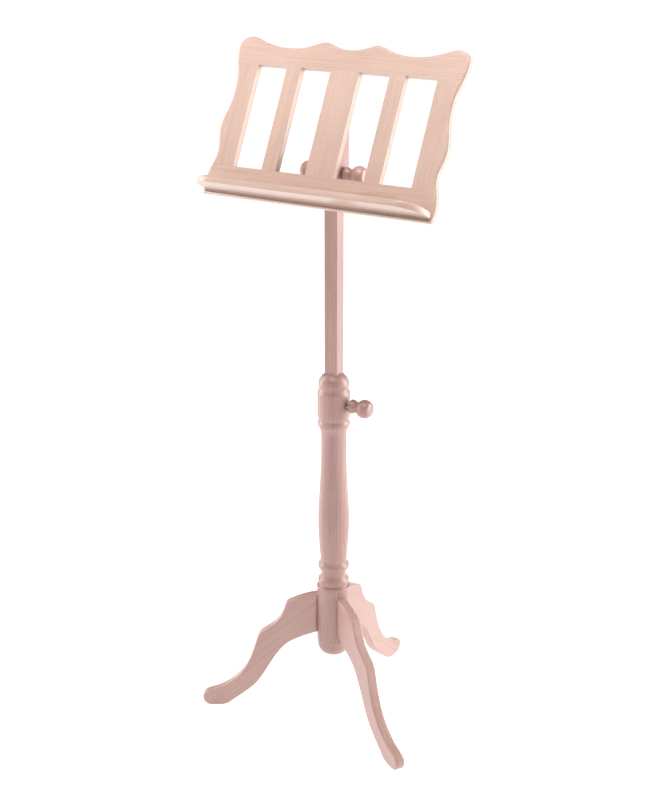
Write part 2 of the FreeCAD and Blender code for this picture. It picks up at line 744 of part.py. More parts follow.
def check():
    """Stops on any object that failed and on any sub-part without a valid shape."""
    doc.recompute()
    for item in doc.Objects:
        if "Invalid" in item.State or "Error" in item.State:
            raise RuntimeError(f"{item.Label} failed: {item.State}")
    for label, item in finished.items():
        if item.Shape.isNull() or not item.Shape.isValid() or not item.Shape.Solids:
            raise RuntimeError(f"{label} has no valid solid")


def write():
    """Writes each sub-part to its own file."""
    os.makedirs("parts", exist_ok=True)
    for label, item in finished.items():
        item.Shape.exportStep(f"parts/{label}.step")
        volume = item.Shape.Volume / 1000.0
        print(f"{label}: {len(item.Shape.Solids)} solids, {volume:.2f} cubic centimetres")


def main():
    fill_sheet()
    leg_dowels = make_leg_dowels()
    make_column(leg_dowels)
    for label, angle in LEG_ANGLES.items():
        make_leg(label, angle, leg_dowels)
    make_clamp()
    make_mast(make_tilt_lock())
    make_desk()
    check()
    write()


main()
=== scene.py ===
import math
import bmesh
import bpy
import numpy as np
from mathutils import Matrix, Vector
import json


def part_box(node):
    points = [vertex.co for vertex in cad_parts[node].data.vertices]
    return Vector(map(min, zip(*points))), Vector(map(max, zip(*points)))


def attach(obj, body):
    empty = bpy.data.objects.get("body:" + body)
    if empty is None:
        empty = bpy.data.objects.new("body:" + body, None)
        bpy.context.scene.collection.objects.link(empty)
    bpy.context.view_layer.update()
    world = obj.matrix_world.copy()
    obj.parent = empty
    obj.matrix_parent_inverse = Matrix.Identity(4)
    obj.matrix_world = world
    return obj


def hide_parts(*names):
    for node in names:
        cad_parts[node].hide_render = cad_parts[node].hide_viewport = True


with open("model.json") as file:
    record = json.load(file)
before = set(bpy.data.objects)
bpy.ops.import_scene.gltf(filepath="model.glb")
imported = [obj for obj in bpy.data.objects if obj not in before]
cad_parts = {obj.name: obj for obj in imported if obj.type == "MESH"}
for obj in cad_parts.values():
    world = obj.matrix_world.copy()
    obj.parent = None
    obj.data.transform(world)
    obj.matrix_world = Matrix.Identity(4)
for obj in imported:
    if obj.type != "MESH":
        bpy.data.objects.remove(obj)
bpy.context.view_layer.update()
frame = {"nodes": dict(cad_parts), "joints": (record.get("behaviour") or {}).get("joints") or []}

# Lengths in the tables and functions below are in millimetres, as in the CAD source, and the
# meshes are scaled to metres when they are made. Boards of the desk are drawn in the desk's
# own frame: X across, Y into the board from its front face, Z up the board.
MM = 0.001
TURNS = 128                      # facets round the column
KNOB_TURNS = 80                  # facets round a knob
ROD_TURNS = 40                   # facets round a rod or a bore
SPACING = 2.2                    # spacing of the points along a curve
SHARP_ANGLE = math.radians(32.0)
ROUND_STEPS = 7                  # steps in a rounded edge
SUPPORT = 0.5                    # width of the flat strip inside a rounded edge

# The column, from the middle of its foot to the edge of its dome, as radius and height. A
# step of one point is a straight line, of two points an arc, and of more a smooth curve.
COLUMN_START = (0.0, 128.0)
COLUMN_STEPS = [
    [(15.0, 128.0)],
    [(27.5, 136.0), (32.4, 154.0)],
    [(32.0, 158.5)],
    [(33.2, 159.5), (34.2, 163.0)],
    [(34.2, 280.0)],
    [(33.4, 284.5), (30.6, 286.0)],
    [(29.0, 288.5)],
    [(31.8, 296.0), (27.6, 305.0)],
    [(25.2, 312.0), (26.4, 319.5)],
    [(27.0, 321.0)],
    [(31.6, 329.8), (27.4, 338.5)],
    [(26.6, 341.0)],
    [(27.4, 352.0), (29.9, 384.0), (31.4, 428.0), (29.9, 473.0), (27.3, 517.0),
     (25.6, 560.0), (25.3, 603.0), (26.3, 622.0), (30.2, 632.5)],
    [(32.0, 638.0), (30.6, 645.0)],
    [(29.2, 648.0)],
    [(30.8, 650.5), (32.3, 656.0)],
    [(32.3, 698.0)],
    [(31.7, 704.5), (29.6, 708.5)],
    [(28.6, 713.0)],
    [(29.2, 716.5), (30.4, 719.5)],
]
DOME_STEPS = [[(30.3, 722.5), (28.8, 728.5), (25.0, 735.0), (19.8, 740.0), (0.0, 748.5)]]
DOME_EDGE = 24.0                 # radius above which the dome's rings stay round
DOME_RINGS = 6                   # rings from there in to the square socket
RIM_ROUND = 0.7                  # rounding of the socket's rim
RIM_STEPS = 3
WALL_TOP = 30.0                  # depth below the dome at which the socket's straight walls start
WALL_RINGS = 8
POST_RADIUS = 34.2

# A leg from its side, as distance from the column's axis, height, and heading in degrees.
LEG_STATIONS = [
    (24.0, 266.0, -3.0),
    (91.0, 246.0, -27.0),
    (100.5, 234.0, -78.0),
    (118.0, 199.5, -50.0),
    (148.0, 175.5, -37.0),
    (158.5, 160.0, -75.0),
    (188.0, 85.5, -57.0),
    (258.0, 33.5, -16.0),
    (275.5, 17.0, -92.0),
    (259.0, -1.0, -180.0),
    (238.0, -1.0, -184.0),
    (198.0, 22.0, -217.0),
    (153.5, 65.0, -237.0),
    (121.5, 118.5, -238.0),
    (88.0, 154.5, -210.0),
    (24.0, 180.0, -194.0),
]
LEG_THICKNESS = 20.0
LEG_ROUND = 3.0
LEG_MARGIN = 2.0                 # how far outside the post a leg's outline starts
LEG_ANGLES = {"leg_back": 90.0, "leg_left": 210.0, "leg_right": 330.0}
LEG_GRAIN = 40.0                 # slope of the grain down the leg, in degrees

# Half of the desk's outline, from its lower corner to the middle of its top edge.
DESK_SIDE = [
    (243.2, -57.5), (246.3, -27.0), (242.0, -6.0), (236.2, 13.0), (234.8, 28.0), (238.3, 46.0),
    (242.6, 71.0), (239.4, 95.0), (233.2, 121.0), (230.8, 147.0), (232.2, 170.0),
    (239.8, 200.0), (244.5, 226.0),
]
DESK_HORN = [(241.6, 243.0), (230.0, 251.5), (217.0, 254.2)]
DESK_TOP = [
    (198.0, 249.5), (167.0, 240.0), (133.0, 236.6), (95.0, 240.8), (72.0, 248.5),
    (55.5, 252.4), (40.0, 249.0), (20.0, 242.5), (0.0, 240.8),
]
SLATS = ["left_slat", "centre_slat", "right_slat"]
DESK_LEAN = math.radians(27.0)
BOARD_THICKNESS = 14.0
BOARD_ROUND = 4.5
WINDOW_EASE = 0.7                # easing of the crisp edges round the openings

LEDGE_UNDERSIDE = -50.0
LEDGE_THICKNESS = 13.0
LEDGE_DEPTH = 62.0
LEDGE_TOP_ROUND = 5.5
LEDGE_LOW_ROUND = 2.0
LEDGE_CORNER_WIDTH = 46.0
LEDGE_CORNER_DEPTH = 54.0
LEDGE_CORNER_STEPS = 28

# Screws through the bottom rail: their places across it, one screw's profile from its head as
# radius and depth, and the profile of the blade that cuts a slot of its cross recess.
LEDGE_SCREWS_ACROSS = [-180.0, -60.0, 60.0, 180.0]
LEDGE_SCREW = [(0.0, 0.0), (3.75, 0.0), (4.0, 0.15), (2.0, 2.2), (2.0, 41.0), (0.0, 45.0)]
RECESS_BLADE = [(0.0, -1.0), (1.0, -1.0), (0.62, 1.9), (0.0, 1.9)]
RECESS_LONG = 3.1                # half the length of a slot
RECESS_WIDE = 0.62               # half the width of a slot
RECESS_SLOTS = (20.0, 110.0)     # turn of the first screw's two slots, in degrees
RECESS_TURN = 33.0               # turn from one screw to the next, in degrees

# The cheeks, behind the desk's face and up the board.
PIVOT_RISE = 22.0
PIVOT_DEPTH = 49.0
CHEEK_RADIUS = 18.0
CHEEK_HIGH = 131.0
CHEEK_BLUNT = 8.0
CHEEK_EASE = 1.2

PAD_BORE_RADIUS = 5.0
BORE_OVERRUN = 1.0               # how far a bore's tool runs past what it cuts
SOCKET_FLOOR = 316.0
SOCKET_CLEARANCE = 0.6
MAST_CHAMFER = 2.5
MAST_END_EASE = 0.8

# A knob from the edge of its base to the edge of its flat end.
KNOB_STEPS = [
    [(12.0, 0.0)],
    [(13.3, 0.9), (14.0, 4.2)],
    [(12.9, 8.6), (10.9, 12.0), (10.9, 16.0), (14.6, 20.4)],
    [(18.3, 30.0), (12.8, 43.6)],
    [(12.0, 44.0)],
]
CLAMP_BORE_DEPTH = 18.0
TILT_BORE = (4.3, 20.0)          # the hole behind a tilt knob's insert, as radius and depth
THREAD_PITCH = 1.25
THREAD_DEPTH = 0.68
RINGS_PER_PITCH = 8
WASHER_EASE = 0.25
FIT = 0.05                       # clearance of a loose fit on the rod

# Colours of beech, pale, middling and deep: of the turned parts and the mast, of the legs, and
# of the desk's boards, whose paler, yellower tints are painted light for the light on the desk's
# face.
TURNED_TINTS = [(0.50, 0.30, 0.26, 1.0), (0.35, 0.193, 0.167, 1.0), (0.18, 0.08, 0.06, 1.0)]
LEG_TINTS = [(0.57, 0.36, 0.31, 1.0), (0.42, 0.245, 0.21, 1.0), (0.22, 0.11, 0.08, 1.0)]
LIT_BOARD_TINTS = [(0.60, 0.43, 0.355, 1.0), (0.465, 0.31, 0.25, 1.0), (0.26, 0.14, 0.10, 1.0)]
GRAIN_TURNS = {"X": (0.0, math.radians(90.0), 0.0), "Z": (0.0, 0.0, 0.0)}

# How far off the tree's centre each member of the desk was sawn, in metres.
MEMBER_PITHS = {
    "top_rail": (0.05, 0.06), "bottom_rail": (0.02, 0.09), "right_stile": (0.08, 0.03),
    "left_stile": (0.07, 0.05), "left_slat": (0.01, 0.05), "centre_slat": (0.12, 0.02),
    "right_slat": (0.09, 0.04),
}

# Beech figure: how finely each kind of mark repeats across the grain and along it, per metre,
# and how much it darkens the wood.
RING_SPACING = 0.0042
RING_WANDER = 0.016
SLOW_SCALE = (9.0, 9.0, 2.2)
FIBRE_SCALE = (1500.0, 1500.0, 22.0)
STREAK_SCALE = (230.0, 230.0, 4.0)
CLOUD_SCALE = (16.0, 16.0, 5.0)
DASH_SCALE = (950.0, 950.0, 170.0)
RING_SHARE = 0.22
STREAK_SHARE = 0.36
FIBRE_SHARE = 0.36
CLOUD_SHARE = 0.35
TINT_SHIFT = -0.23
FLECK_SHARE = 0.30
GRAIN_RELIEF = 0.00012           # depth of the bump of the grain, in metres
SATIN_ROUGHNESS = 0.36
COAT_WEIGHT = 0.65
COAT_ROUGHNESS = 0.26
METAL_RELIEF = 0.00003           # depth of the bump of lathe marks, in metres
METAL_CLOUD_SCALE = (160.0, 160.0, 160.0)
WHITE = (1.0, 1.0, 1.0, 1.0)

# Softboxes, in metres and watts: name, place, width, height and power.
SOFTBOXES = [
    ("left_softbox", (-2.0, -0.5, 1.3), 1.4, 2.4, 44.0),
    ("right_softbox", (1.9, 1.4, 1.3), 1.4, 2.4, 74.0),
    ("top_softbox", (0.1, -0.6, 3.0), 1.6, 1.6, 56.0),
]
LIT_POINT = (0.0, 0.0, 0.75)
FLOOR_RADIUS = 60.0
FLOOR_GREY = 0.50
FLOOR_GLOW = 0.95                # brightness that the floor adds of its own, to look white
HORIZON_RISE = 0.12              # height on the unit sky up to which the surround stays white
OVERHEAD_RISE = 0.42             # height from which it is dim
OVERHEAD_GREY = 0.06

CAMERA_PLACE = (1.35152, -2.20638, 1.64236)
CAMERA_YAW = math.radians(31.87)
CAMERA_DIP = math.radians(20.16)
CAMERA_ROLL = math.radians(-0.06)
CAMERA_LENS = 64.08


# ---------------------------------------------------------------- sizes from the frame


def low(node):
    """A CAD node's lowest corner, in millimetres."""
    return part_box(node)[0] / MM


def high(node):
    """A CAD node's highest corner, in millimetres."""
    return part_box(node)[1] / MM


def joint_height(name):
    """The height of a joint's axis."""
    joint = next(item for item in frame["joints"] if item["name"] == name)
    return joint["pos_m"][2] / MM


PIVOT_LEVEL = joint_height("desk_tilt")
CLAMP_LEVEL = joint_height("clamp_knob_turn")
ROD_RADIUS = high("tilt_rod")[1]
MAST_WIDTH = high("mast")[0] - low("mast")[0]
SOCKET_WIDTH = MAST_WIDTH + SOCKET_CLEARANCE
BOARD_DROP = BOARD_THICKNESS * math.sin(DESK_LEAN)
SLAT_RISE = high("centre_slat")[2] - low("centre_slat")[2] - BOARD_DROP
WINDOW_HEIGHT = SLAT_RISE / math.cos(DESK_LEAN)
DESK_ORIGIN = Vector((0.0, low("centre_slat")[1], low("centre_slat")[2] + BOARD_DROP))


def desk_matrix():
    """Carries the desk's own frame to its place in the shared frame. The centre slat's lowest
    corner gives its origin."""
    return Matrix.Translation(DESK_ORIGIN * MM) @ Matrix.Rotation(-DESK_LEAN, 4, "X")


# ---------------------------------------------------------------- curves


def along_line(start, end):
    """Points from one point to another, without the first."""
    count = max(1, int(math.dist(start, end) / (4.0 * SPACING)))
    shares = np.linspace(0.0, 1.0, count + 1)[1:, None]
    return np.array(start) * (1.0 - shares) + np.array(end) * shares


def along_arc(start, middle, end):
    """Points on the arc through three points, without the first."""
    a, b, c = (complex(*point) for point in (start, middle, end))
    w = (c - a) / (b - a)
    centre = a + (b - a) * (w - abs(w) ** 2) / (w - w.conjugate())
    radius = abs(a - centre)
    first = math.atan2((a - centre).imag, (a - centre).real)
    sweep_middle = math.atan2(((b - centre) / (a - centre)).imag, ((b - centre) / (a - centre)).real)
    sweep_end = math.atan2(((c - centre) / (b - centre)).imag, ((c - centre) / (b - centre)).real)
    sweep = sweep_middle + sweep_end
    count = max(4, int(abs(sweep) * radius / SPACING), int(abs(sweep) / math.radians(9.0)))
    turns = first + sweep * np.linspace(0.0, 1.0, count + 1)[1:]
    return np.stack([centre.real + radius * np.cos(turns), centre.imag + radius * np.sin(turns)], 1)


def along_spline(points):
    """Points on a natural cubic spline over the chord lengths, without the first."""
    points = np.array(points, float)
    chords = np.linalg.norm(np.diff(points, axis=0), axis=1)
    knots = np.concatenate([[0.0], np.cumsum(chords)])
    count = len(points)
    system = np.eye(count)
    right = np.zeros_like(points)
    slopes = np.diff(points, axis=0) / chords[:, None]
    for row in range(1, count - 1):
        before, after = chords[row - 1], chords[row]
        system[row, row - 1:row + 2] = before, 2.0 * (before + after), after
        right[row] = 6.0 * (slopes[row] - slopes[row - 1])
    bends = np.linalg.solve(system, right)
    spots = np.linspace(0.0, knots[-1], max(6, int(knots[-1] / SPACING)) + 1)[1:]
    span = np.clip(np.searchsorted(knots, spots) - 1, 0, count - 2)
    length = chords[span][:, None]
    share = ((spots - knots[span]) / chords[span])[:, None]
    rest = 1.0 - share
    line = rest * points[span] + share * points[span + 1]
    curve = (rest ** 3 - rest) * bends[span] + (share ** 3 - share) * bends[span + 1]
    return line + curve * length ** 2 / 6.0


def trace(start, steps):
    """Points along an outline of lines, arcs and smooth curves."""
    parts = [np.array([start], float)]
    for step in steps:
        here = tuple(parts[-1][-1])
        if len(step) == 1:
            parts.append(along_line(here, step[0]))
        elif len(step) == 2:
            parts.append(along_arc(here, *step))
        else:
            parts.append(along_spline([here] + step))
    return np.concatenate(parts)


def heading_vector(heading):
    """The unit vector of a heading in degrees."""
    turn = math.radians(heading)
    return np.array([math.cos(turn), math.sin(turn)])


def arc_from(start, heading, end):
    """Points on the arc that leaves a point at a heading and reaches another point."""
    chord = end - start
    direction = math.degrees(math.atan2(chord[1], chord[0]))
    swing = (direction - heading + 180.0) % 360.0 - 180.0
    if abs(swing) < 0.01:
        return along_line(start, end)
    reach = np.linalg.norm(chord) / (2.0 * math.cos(math.radians(swing / 2.0)))
    middle = start + heading_vector(heading + swing / 2.0) * reach
    return along_arc(start, middle, end)


def smooth_chain(stations):
    """Points through stations, each pair joined by two arcs that are smooth at both ends."""
    points = [np.array([stations[0][:2]])]
    for first, second in zip(stations, stations[1:]):
        start, end = np.array(first[:2]), np.array(second[:2])
        leaving, arriving = heading_vector(first[2]), heading_vector(second[2])
        chord = end - start
        along = chord @ (leaving + arriving)
        bend = 2.0 * (1.0 - leaving @ arriving)
        if bend < 0.0001:
            reach = chord @ chord / (2.0 * along)
        else:
            reach = (math.sqrt(along ** 2 + bend * (chord @ chord)) - along) / bend
        joint_point = (start + leaving * reach + end - arriving * reach) / 2.0
        points.append(arc_from(start, first[2], joint_point))
        backwards = arc_from(end, second[2] + 180.0, joint_point)[::-1]
        points.append(np.concatenate([backwards[1:], [end]]))
    return np.concatenate(points)


# ---------------------------------------------------------------- meshes


def make_object(name, bm):
    """An object from a mesh in millimetres, with smooth faces that break at sharp edges."""
    bmesh.ops.remove_doubles(bm, verts=bm.verts, dist=0.002)
    bmesh.ops.dissolve_degenerate(bm, edges=bm.edges, dist=0.001)
    bmesh.ops.recalc_face_normals(bm, faces=bm.faces)
    bmesh.ops.scale(bm, vec=(MM, MM, MM), verts=bm.verts)
    mesh = bpy.data.meshes.new(name)
    bm.to_mesh(mesh)
    bm.free()
    piece = bpy.data.objects.new(name, mesh)
    bpy.context.scene.collection.objects.link(piece)
    return piece


def skin(name, rings, closed=False, caps=False):
    """A mesh over rings of points. A ring of one point is a pole, closed joins the last ring
    to the first, and caps fills the first and last rings."""
    bm = bmesh.new()
    rows = [[bm.verts.new(point) for point in ring] for ring in rings]
    pairs = list(zip(rows, rows[1:]))
    if closed:
        pairs.append((rows[-1], rows[0]))
    for first, second in pairs:
        count = max(len(first), len(second))
        for spot in range(count if count > 1 else 0):
            ahead = (spot + 1) % count
            corners = [first[spot % len(first)]]
            if len(first) > 1:
                corners.append(first[ahead])
            if len(second) > 1:
                corners.append(second[ahead])
            corners.append(second[spot % len(second)])
            bm.faces.new(corners)
    if caps:
        bm.faces.new(rows[0])
        bm.faces.new(rows[-1])
    return make_object(name, bm)


def circle(radius, level, turns):
    """A ring about Z, or its single point where the radius is nothing."""
    if radius < 0.001:
        return [(0.0, 0.0, level)]
    angles = np.arange(turns) * (2.0 * math.pi / turns)
    return [(radius * math.cos(angle), radius * math.sin(angle), level) for angle in angles]


def lathe(name, profile, turns, closed=False):
    """A turned shape from a profile of radius and height."""
    return skin(name, [circle(radius, level, turns) for radius, level in profile], closed=closed)


def ring_shifts(outline, rounds):
    """For each point of an outline, its shift for a full rounding and the rounding's size.
    rounds gives the rounding of the edge that starts at each point."""
    after = np.roll(outline, -1, axis=0) - outline
    after /= np.linalg.norm(after, axis=1)[:, None]
    crossed = outline * np.roll(outline, -1, axis=0)[:, ::-1]
    area = (crossed[:, 0] - crossed[:, 1]).sum()
    inward = np.stack([-after[:, 1], after[:, 0]], 1) * np.sign(area)
    shifts = np.zeros_like(outline)
    sizes = np.zeros(len(outline))
    for spot in range(len(outline)):
        normals = inward[spot - 1], inward[spot]
        radii = rounds[spot - 1], rounds[spot]
        turn = abs(normals[0][0] * normals[1][1] - normals[0][1] * normals[1][0])
        if abs(radii[0] - radii[1]) < 0.001 or turn < 0.1:
            radius = min(radii)
            shifts[spot] = radius * (normals[0] + normals[1]) / (1.0 + normals[0] @ normals[1])
            sizes[spot] = radius
        else:
            shifts[spot] = np.linalg.solve(np.array(normals), np.array(radii))
            sizes[spot] = max(radii)
    return shifts, sizes


def face_rings(outline, rounds):
    """Rings from a face's flat strip round its edge, as outline points and their depths."""
    shifts, sizes = ring_shifts(outline, rounds)
    lengths = np.linalg.norm(shifts, axis=1)
    extra = np.where(lengths > 0.0, SUPPORT / np.maximum(lengths, 0.001), 0.0)
    rings = [(outline + shifts * (1.0 + extra)[:, None], np.zeros(len(outline)))]
    for step in range(ROUND_STEPS + 1):
        turn = math.pi / 2.0 * step / ROUND_STEPS
        rings.append((outline + shifts * (1.0 - math.sin(turn)), sizes * (1.0 - math.cos(turn))))
    return rings


def plate(name, outline, front, back, thickness, axes):
    """A board with rounded edges. front and back give the rounding of each of the outline's
    edges on those faces, and axes says where the outline's two directions and the board's
    thickness go, as columns."""
    front_rings = face_rings(outline, front)
    back_rings = [(ring, thickness - depth) for ring, depth in face_rings(outline, back)[::-1]]
    rings = []
    for ring, depth in front_rings + back_rings:
        rings.append(np.column_stack([ring, depth]) @ np.array(axes, float))
    return skin(name, rings, caps=True)


# ---------------------------------------------------------------- cutting and finishing


def subtract(piece, *tools):
    """Cuts other objects out of a piece."""
    for tool in tools:
        modifier = piece.modifiers.new("cut", "BOOLEAN")
        modifier.operation = "DIFFERENCE"
        modifier.solver = "EXACT"
        modifier.object = tool
    bpy.context.view_layer.update()
    graph = bpy.context.evaluated_depsgraph_get()
    mesh = bpy.data.meshes.new_from_object(piece.evaluated_get(graph))
    piece.modifiers.clear()
    piece.data = mesh
    return piece


def rod_tool(radius, start, end, place):
    """A cylinder along a placement's Z, for cutting."""
    tool = lathe("tool", [(0.0, start), (radius, start), (radius, end), (0.0, end)], ROD_TURNS)
    tool.matrix_world = place
    return tool


def drop(tool):
    """Removes an object that was used for cutting."""
    bpy.data.objects.remove(tool)


def bore(piece, radius, start, end, place):
    """Cuts a round hole along a placement's Z."""
    tool = rod_tool(radius, start, end, place)
    subtract(piece, tool)
    drop(tool)
    return piece


def smooth(piece):
    """Smooth shading that breaks at sharp edges."""
    piece.data.shade_smooth()
    piece.data.set_sharp_from_angle(angle=SHARP_ANGLE)
    return piece


def along_x(level, sign=1.0):
    """A placement at a height on the column's axis whose Z points along X."""
    turn = Matrix.Rotation(math.radians(90.0) * sign, 4, "Y")
    return Matrix.Translation((0.0, 0.0, level * MM)) @ turn


def fit(piece, body, slot, *nodes):
    """Finishes a piece that stands for CAD nodes and moves with a body."""
    smooth(piece)
    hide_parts(*nodes)
    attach(piece, body)
    return piece


# ---------------------------------------------------------------- materials


class Nodes:
    """Adds nodes to a material in a row and links them."""

    def __init__(self, name):
        self.material = bpy.data.materials.new(name)
        self.material.use_nodes = True
        self.tree = self.material.node_tree
        self.shader = self.tree.nodes["Principled BSDF"]
        self.column = -1800

    def add(self, kind, inputs=None, **settings):
        """A node with settings, and inputs that are values or another node's output."""
        node = self.tree.nodes.new(kind)
        node.location = (self.column, 0)
        self.column += 120
        for key, value in settings.items():
            setattr(node, key, value)
        for key, value in (inputs or {}).items():
            self.feed(node.inputs[key], value)
        return node

    def feed(self, socket, value):
        """Links another node's output to a socket, or sets the socket's value."""
        if isinstance(value, bpy.types.NodeSocket):
            self.tree.links.new(value, socket)
        else:
            socket.default_value = value

    def math(self, operation, *values):
        """Arithmetic on values or outputs."""
        inputs = dict(enumerate(values))
        return self.add("ShaderNodeMath", inputs, operation=operation).outputs[0]

    def noise(self, vector, scale, detail=2.0, roughness=0.5):
        """Soft random values between 0 and 1."""
        inputs = {"Vector": vector, "Scale": scale, "Detail": detail, "Roughness": roughness}
        return self.add("ShaderNodeTexNoise", inputs).outputs["Fac"]

    def stretch(self, vector, scale, offset=(0.0, 0.0, 0.0), turn=(0.0, 0.0, 0.0)):
        """A position scaled, turned and moved."""
        inputs = {"Vector": vector, "Scale": scale, "Location": offset, "Rotation": turn}
        return self.add("ShaderNodeMapping", inputs).outputs[0]

    def ramp(self, factor, stops):
        """Values or colours at places along a factor."""
        node = self.add("ShaderNodeValToRGB", {"Fac": factor})
        elements = node.color_ramp.elements
        while len(elements) < len(stops):
            elements.new(0.5)
        for element, (place, colour) in zip(elements, stops):
            element.position = place
            element.color = colour if isinstance(colour, tuple) else (colour, colour, colour, 1.0)
        return node.outputs[0]

    def mix(self, factor, first, second):
        """A blend of two colours."""
        node = self.add("ShaderNodeMix", data_type="RGBA")
        self.feed(node.inputs["Factor"], factor)
        self.feed(node.inputs[6], first)
        self.feed(node.inputs[7], second)
        return node.outputs[2]

    def bump(self, height, distance, strength):
        """A normal bent by a height."""
        inputs = {"Height": height, "Distance": distance, "Strength": strength}
        return self.add("ShaderNodeBump", inputs).outputs[0]


def beech(name, grain, seed, pith=(0.06, 0.035), tints=TURNED_TINTS):
    """Satin beech with straight grain. grain is the piece's own axis that the wood runs
    along, or a rotation that brings that direction to Z. pith is how far off the tree's
    centre lies, which sets how the year rings cross the surface. tints are its colours."""
    made = Nodes(name)
    place = made.add("ShaderNodeTexCoord").outputs["Object"]
    wood = made.stretch(place, (1.0, 1.0, 1.0), turn=GRAIN_TURNS.get(grain, grain))
    shifted = made.stretch(wood, (1.0, 1.0, 1.0), offset=(pith[0], pith[1], 1.7 * seed))

    # Year rings: the distance from the pith, wandering slowly along the grain.
    slow = made.stretch(shifted, SLOW_SCALE)
    wander = made.noise(slow, 1.0, detail=3.0)
    flat_place = made.add("ShaderNodeVectorMath", {0: shifted, 1: (1.0, 1.0, 0.0)},
                          operation="MULTIPLY").outputs[0]
    distance = made.add("ShaderNodeVectorMath", {0: flat_place}, operation="LENGTH").outputs["Value"]
    wobble = made.math("MULTIPLY", wander, RING_WANDER)
    ring = made.math("MULTIPLY", made.math("ADD", distance, wobble), 1.0 / RING_SPACING)
    phase = made.math("FRACT", ring)
    band = made.ramp(phase, [(0.0, 0.35), (0.55, 0.5), (0.86, 0.85), (0.95, 1.0), (1.0, 0.35)])

    # Fibres, broad streaks and cloudy changes of colour.
    fibre = made.noise(made.stretch(shifted, FIBRE_SCALE), 1.0, detail=3.0)
    streak = made.noise(made.stretch(shifted, STREAK_SCALE), 1.0, detail=3.0, roughness=0.6)
    cloud = made.noise(made.stretch(shifted, CLOUD_SCALE), 1.0, detail=2.0)

    # Ray flecks: short darker dashes.
    dashes = made.noise(made.stretch(shifted, DASH_SCALE), 1.0, detail=1.0)
    fleck = made.ramp(dashes, [(0.64, 0.0), (0.74, 1.0)])

    amount = made.math("MULTIPLY", band, RING_SHARE)
    for mark, share in ((streak, STREAK_SHARE), (fibre, FIBRE_SHARE), (cloud, CLOUD_SHARE)):
        amount = made.math("ADD", amount, made.math("MULTIPLY", mark, share))
    amount = made.math("ADD", amount, TINT_SHIFT)
    colour = made.ramp(amount, list(zip((0.12, 0.50, 1.0), tints)))
    colour = made.mix(made.math("MULTIPLY", fleck, FLECK_SHARE), colour, tints[-1])
    made.feed(made.shader.inputs["Base Color"], colour)

    rough = made.math("ADD", made.math("MULTIPLY", streak, 0.14), made.math("MULTIPLY", fibre, 0.12))
    made.feed(made.shader.inputs["Roughness"], made.math("ADD", rough, SATIN_ROUGHNESS))
    height = made.math("ADD", made.math("MULTIPLY", fibre, 0.7), made.math("MULTIPLY", band, 0.3))
    height = made.math("SUBTRACT", height, made.math("MULTIPLY", fleck, 0.35))
    made.feed(made.shader.inputs["Normal"], made.bump(height, GRAIN_RELIEF, 0.5))
    made.shader.inputs["Specular IOR Level"].default_value = 0.42
    made.shader.inputs["Coat Weight"].default_value = COAT_WEIGHT
    made.shader.inputs["Coat Roughness"].default_value = COAT_ROUGHNESS
    return made.material


def metal(name, colour, roughness, mark_scale):
    """Machined metal with fine lathe marks, whose scale along each axis is given."""
    made = Nodes(name)
    place = made.add("ShaderNodeTexCoord").outputs["Object"]
    marks = made.noise(made.stretch(place, mark_scale), 1.0, detail=3.0)
    cloud = made.noise(made.stretch(place, METAL_CLOUD_SCALE), 1.0, detail=3.0)
    dull = tuple(0.72 * part for part in colour[:3]) + (1.0,)
    made.feed(made.shader.inputs["Base Color"], made.mix(cloud, colour, dull))
    rough = made.math("ADD", made.math("MULTIPLY", marks, 0.22), roughness)
    made.feed(made.shader.inputs["Roughness"], rough)
    made.feed(made.shader.inputs["Normal"], made.bump(marks, METAL_RELIEF, 0.4))
    made.shader.inputs["Metallic"].default_value = 1.0
    return made.material


STEEL = metal("zinc_steel", (0.60, 0.61, 0.63, 1.0), 0.22, (900.0, 900.0, 900.0))
BRASS = metal("turned_brass", (0.72, 0.53, 0.24, 1.0), 0.24, (2500.0, 300.0, 300.0))


def paint(piece, material):
    """Gives a piece its only material."""
    piece.data.materials.clear()
    piece.data.materials.append(material)
    return piece


# ---------------------------------------------------------------- column and legs


def column_rings():
    """Rings of the column from the middle of its foot, over the dome and down the socket."""
    profile = trace(COLUMN_START, COLUMN_STEPS)
    dome = trace(COLUMN_STEPS[-1][-1], DOME_STEPS)
    outer = dome[(dome[:, 0] > DOME_EDGE) | (dome[:, 1] < dome[:, 1].mean())]
    rings = [circle(radius, level, TURNS) for radius, level in np.concatenate([profile, outer[1:]])]
    falling = dome[::-1]
    half = SOCKET_WIDTH / 2.0
    angles = np.arange(TURNS) * (2.0 * math.pi / TURNS)
    square = half / np.maximum(np.abs(np.cos(angles)), np.abs(np.sin(angles)))

    def ring_at(radii, below=0.0):
        """A ring of given radii that lies on the dome, or below it."""
        levels = np.interp(radii, falling[:, 0], falling[:, 1]) - below
        return list(zip(radii * np.cos(angles), radii * np.sin(angles), levels))

    edge = outer[-1][0]
    for share in np.linspace(0.0, 1.0, DOME_RINGS + 1)[1:]:
        rings.append(ring_at(edge + (square + RIM_ROUND - edge) * share))
    for step in range(1, RIM_STEPS + 1):
        turn = math.pi / 2.0 * step / RIM_STEPS
        inset = RIM_ROUND * (1.0 - math.sin(turn))
        rings.append(ring_at(square + inset, RIM_ROUND * (1.0 - math.cos(turn))))
    walls = (square * np.cos(angles), square * np.sin(angles))
    for level in np.linspace(high("column")[2] - WALL_TOP, SOCKET_FLOOR, WALL_RINGS):
        rings.append(list(zip(*walls, np.full(TURNS, level))))
    rings.append([(0.0, 0.0, SOCKET_FLOOR)])
    return rings


